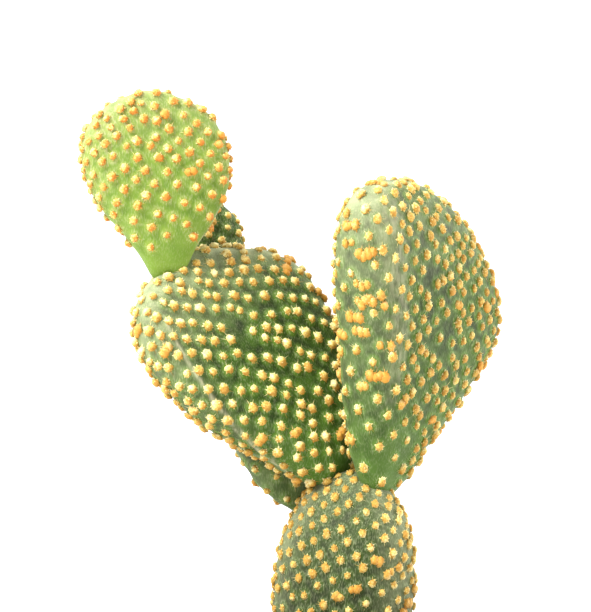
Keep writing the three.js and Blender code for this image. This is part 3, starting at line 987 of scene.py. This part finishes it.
def make_skin_material(name, furrow_shade, ground, swelling_highlight, foot, nap_and_light_colour):
    material, tree = new_material(name)
    place = add(tree, "ShaderNodeTexCoord").outputs["Object"]
    read = [add(tree, "ShaderNodeAttribute", attribute_name=label).outputs["Fac"] for label in STORED]
    swelling, crease, rise, nap_and_light, darkening = read
    # Painted shade: the furrows between brushes are darkened, in patches. Painted highlight: the swollen skin
    # round each brush is brightened.
    mottle = add(tree, "ShaderNodeTexNoise", {"Vector": place, "Scale": 1 / MOTTLE_WIDTH, "Detail": 4})
    patches = add(tree, "ShaderNodeMapRange", {0: mottle, 1: 0.38, 2: 0.6, 3: 0.3, 4: 1})
    between = add(tree, "ShaderNodeMapRange", {0: swelling, 1: 0.02, 2: 0.35, 3: 1, 4: 0})
    depth = add(tree, "ShaderNodeMath", {0: patches, 1: between}, operation="MULTIPLY")
    near = add(tree, "ShaderNodeMapRange", {0: swelling, 1: 0.15, 2: 0.7, 3: 0, 4: 0.6})
    low = add(tree, "ShaderNodeMapRange", {0: rise, 1: 0.05, 2: 0.4, 3: 0.7, 4: 0})
    # The nap: strokes drawn out up the pad, densest round the brushes, and a grey veil where it is thick, with
    # painted light that pales the rims and the skin facing up towards the main light.
    stretched = add(tree, "ShaderNodeMapping", {"Vector": place, "Scale": (1, 1, 0.32)})
    nap = add(tree, "ShaderNodeTexNoise", {"Vector": stretched, "Scale": 1 / NAP_WIDTH, "Detail": 3})
    hairs = add(tree, "ShaderNodeMapRange", {0: nap, 1: 0.47, 2: 0.72, 3: 0, 4: 0.55})
    near_brush = add(tree, "ShaderNodeMapRange", {0: swelling, 1: 0.02, 2: 0.35, 3: 0.3, 4: 1})
    hairs = add(tree, "ShaderNodeMath", {0: hairs, 1: near_brush}, operation="MULTIPLY")
    thin = add(tree, "ShaderNodeMapRange", {0: mottle, 1: 0.35, 2: 0.65, 3: 1, 4: 0.5})
    nap_and_light_haze = add(tree, "ShaderNodeMath", {0: nap_and_light, 1: thin}, operation="MULTIPLY")
    grey = add(tree, "ShaderNodeMath", {0: hairs, 1: nap_and_light_haze}, operation="ADD")
    # The crease, pale in streaks.
    streaks = add(tree, "ShaderNodeMapping", {"Vector": place, "Scale": (1, 1, 0.3)})
    crease_noise = add(tree, "ShaderNodeTexNoise", {"Vector": streaks, "Scale": 1 / CREASE_STREAK_WIDTH, "Detail": 4})
    crease_streaks = add(tree, "ShaderNodeMapRange", {0: crease_noise, 1: 0.38, 2: 0.62, 3: 0.15, 4: 0.85})
    pale = add(tree, "ShaderNodeMath", {0: crease, 1: crease_streaks}, operation="MULTIPLY")
    # Each colour is laid over the one before.
    colour = ground
    layers = ((depth, furrow_shade), (near, swelling_highlight), (low, foot), (darkening, DARK_GREY_GREEN), (grey, nap_and_light_colour), (pale, CREASE_PALE))
    for share, over in layers:
        colour = add(tree, "ShaderNodeMix", {0: share, 6: colour, 7: over}, data_type="RGBA")
    bump = add(tree, "ShaderNodeBump", {"Height": nap, "Distance": 0.15 * MM, "Strength": 0.7})
    inputs = {"Base Color": colour, "Roughness": 0.62, "Specular IOR Level": 0.12, "Normal": bump}
    inputs |= {"Sheen Weight": 0.08, "Sheen Roughness": 0.45, "Sheen Tint": "#eef0c8"}
    shader = add(tree, "ShaderNodeBsdfPrincipled", inputs)
    add(tree, "ShaderNodeOutputMaterial", {"Surface": shader})
    return material


grown_skin = make_skin_material("waxy_pad_skin", "#122204", "#3a5812", "#66862a", "#486a1c", "#9ea47e")
young_skin = make_skin_material("young_waxy_pad_skin", "#4e6e18", "#688426", "#969c46", "#708e2c", "#b8b68a")
for name, skin in skins.items():
    skin.data.materials.append(young_skin if name == "pad_young" else grown_skin)

# %% [markdown]
# ## Bristles
# Glochids are dead, dry, fine bristles of horny fibre, closest to horn or straw. The root is orange brown
# and the tip is cream, because a tip is thin enough for light to pass. One colour would look like beads. So
# the stored share from root to tip picks the colour, and a stored shade makes clumps a deeper gold. The same
# share carries painted light and shade: each brush is paler on its side towards the light and deeper orange
# brown on the other.

# %% Material for the bristles
BUNCH_WIDTH = 0.4 * MM  # bristles of 0.05 mm are too fine to show, so this is drawn coarser
DEEP_GOLD = "#c4862a"


def make_bristle_material(name, root, body, tips):
    material, tree = new_material(name)
    # The share from root to tip, which also carries each brush's painted light and shade.
    tip = add(tree, "ShaderNodeAttribute", attribute_name="tip").outputs["Fac"]
    tone = add(tree, "ShaderNodeAttribute", attribute_name="tone").outputs["Fac"]
    place = add(tree, "ShaderNodeTexCoord").outputs["Object"]
    bunches = add(tree, "ShaderNodeTexNoise", {"Vector": place, "Scale": 1 / BUNCH_WIDTH, "Detail": 2})
    shift = add(tree, "ShaderNodeMapRange", {0: bunches, 1: 0.3, 2: 0.7, 3: -0.25, 4: 0.25})
    reach = add(tree, "ShaderNodeMath", {0: tip, 1: shift}, operation="ADD")
    low = add(tree, "ShaderNodeMapRange", {0: reach, 1: 0.1, 2: 0.45})
    high = add(tree, "ShaderNodeMapRange", {0: reach, 1: 0.45, 2: 0.95})
    deep = add(tree, "ShaderNodeMapRange", {0: tone, 1: 0.05, 2: 0.4, 3: 0.75, 4: 0})
    colour = root
    for share, over in ((low, body), (high, tips), (deep, DEEP_GOLD)):
        colour = add(tree, "ShaderNodeMix", {0: share, 6: colour, 7: over}, data_type="RGBA")
    bump = add(tree, "ShaderNodeBump", {"Height": bunches, "Distance": 0.3 * MM, "Strength": 0.6})
    inputs = {"Base Color": colour, "Roughness": 0.65, "IOR": 1.4, "Normal": bump}
    shader = add(tree, "ShaderNodeBsdfPrincipled", inputs)
    add(tree, "ShaderNodeOutputMaterial", {"Surface": shader})
    return material


grown_bristle = make_bristle_material("horny_bristle", "#ac7c2c", "#c8a84f", "#e8dca0")
young_bristle = make_bristle_material("young_horny_bristle", "#be7422", "#c8a84e", "#dcd698")
for name, piece in bristles.items():
    piece.data.materials.append(young_bristle if name == "pad_young" else grown_bristle)

# %% [markdown]
# ## Fired clay
# Terracotta is fired, unglazed clay. It is matt and warm, with the faint rings of the wheel, darker and
# lighter patches from the kiln, and a white bloom where hard water has dried. A flat orange would look like
# plastic. So noise gives the patches and the grain, stretched noise gives the rings, and a mask from height
# gathers the bloom near the soil.

# %% Material for the pot
PATCH_WIDTH = 30 * MM
BLOOM_WIDTH = 12 * MM
RING_WIDTH = 1.6 * MM
CLAY_GRAIN = 0.9 * MM
BLOOM_START, BLOOM_FULL = 45, 78


def make_clay_material():
    material, tree = new_material("fired_terracotta")
    place = add(tree, "ShaderNodeTexCoord").outputs["Object"]
    patches = add(tree, "ShaderNodeTexNoise", {"Vector": place, "Scale": 1 / PATCH_WIDTH, "Detail": 5})
    grain = add(tree, "ShaderNodeTexNoise", {"Vector": place, "Scale": 1 / CLAY_GRAIN, "Detail": 3})
    specks = add(tree, "ShaderNodeMapRange", {0: grain, 1: 0.55, 2: 0.75, 3: 0, 4: 0.5})
    height = add(tree, "ShaderNodeSeparateXYZ", {0: place}).outputs["Z"]
    damp_range = {0: height, 1: BLOOM_START * MM, 2: BLOOM_FULL * MM, 3: 0, 4: 0.35}
    damp = add(tree, "ShaderNodeMapRange", damp_range)
    cloud = add(tree, "ShaderNodeTexNoise", {"Vector": place, "Scale": 1 / BLOOM_WIDTH, "Detail": 6})
    patch = add(tree, "ShaderNodeMapRange", {0: cloud, 1: 0.45, 2: 0.75})
    bloom = add(tree, "ShaderNodeMath", {0: damp, 1: patch}, operation="MULTIPLY")
    colour = "#80401f"
    for share, over in ((patches, "#a05e38"), (specks, "#6c341a"), (bloom, "#b8a490")):
        colour = add(tree, "ShaderNodeMix", {0: share, 6: colour, 7: over}, data_type="RGBA")
    flat = add(tree, "ShaderNodeMapping", {"Vector": place, "Scale": (0.04, 0.04, 1)})
    rings = add(tree, "ShaderNodeTexNoise", {"Vector": flat, "Scale": 1 / RING_WIDTH, "Detail": 2})
    relief = add(tree, "ShaderNodeMath", {0: grain, 1: rings}, operation="ADD")
    bump = add(tree, "ShaderNodeBump", {"Height": relief, "Distance": 0.25 * MM, "Strength": 0.5})
    inputs = {"Base Color": colour, "Roughness": 0.88, "IOR": 1.5, "Normal": bump}
    shader = add(tree, "ShaderNodeBsdfPrincipled", inputs)
    add(tree, "ShaderNodeOutputMaterial", {"Surface": shader})
    return material


pot.data.materials.append(make_clay_material())

# %% [markdown]
# ## Compost and grit
# Compost is crumbled peat and bark: very dark, matt and uneven in shade. Grit is broken stone in pale greys
# and buffs. Each could have a recipe of its own, but both are plain rough surfaces. So one function makes
# them from two colours, a grain and a shade that each crumb or stone has stored.

# %% Materials for the ground
COMPOST_GRAIN = 1.5 * MM
STONE_GRAIN = 0.8 * MM


def make_ground_material(name, dark, pale, grain_width):
    material, tree = new_material(name)
    place = add(tree, "ShaderNodeTexCoord").outputs["Object"]
    tone = add(tree, "ShaderNodeAttribute", attribute_name="tone").outputs["Fac"]
    grain = add(tree, "ShaderNodeTexNoise", {"Vector": place, "Scale": 1 / grain_width, "Detail": 4})
    mixed = add(tree, "ShaderNodeMath", {0: grain, 1: tone}, operation="ADD")
    share = add(tree, "ShaderNodeMapRange", {0: mixed, 1: 0.35, 2: 1.5})
    colour = add(tree, "ShaderNodeMix", {0: share, 6: dark, 7: pale}, data_type="RGBA")
    bump = add(tree, "ShaderNodeBump", {"Height": grain, "Distance": 0.3 * MM, "Strength": 0.8})
    inputs = {"Base Color": colour, "Roughness": 0.95, "IOR": 1.45, "Normal": bump}
    shader = add(tree, "ShaderNodeBsdfPrincipled", inputs)
    add(tree, "ShaderNodeOutputMaterial", {"Surface": shader})
    return material


compost = make_ground_material("peat_compost", "#20140d", "#5a4030", COMPOST_GRAIN)
stone = make_ground_material("broken_stone_grit", "#8d7f6c", "#d8cdb8", STONE_GRAIN)
soil.data.materials.append(compost)
crumbs.data.materials.append(compost)
grains.data.materials.append(stone)
